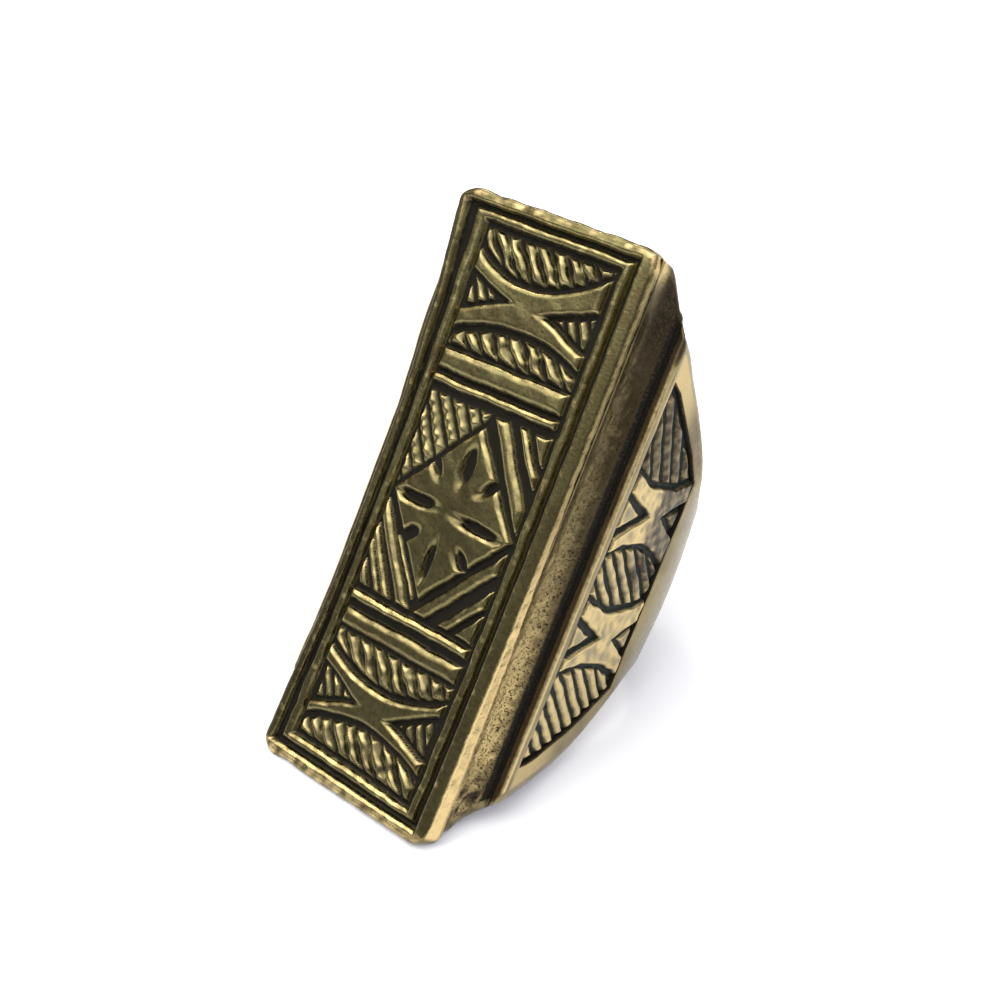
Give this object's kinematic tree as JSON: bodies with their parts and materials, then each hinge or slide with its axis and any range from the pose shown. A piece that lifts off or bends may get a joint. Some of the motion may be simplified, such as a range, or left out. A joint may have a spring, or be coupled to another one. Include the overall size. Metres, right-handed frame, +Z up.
{
  "type": "finger ring",
  "caption": "Cast brass finger ring with a long sunken tablet of raised crosses, rope hatching and a diamond, hollowed sides and patterned cheeks.",
  "frame": {"origin": "on the table, under the middle of the bounding box of the ring as it rests", "axes": "+Z up from the table; the tablet's face looks to -Y and up, its upper end is high and towards +Y; +X is the side cheek seen on the picture's right"},
  "size_m": [0.0214, 0.0352, 0.0364],
  "materials": {
    "ring": "old cast brass, worn bright on the relief and dark in the recesses"
  },
  "bodies": {
    "root": {"ring": "ring"}
  },
  "joints": []
}
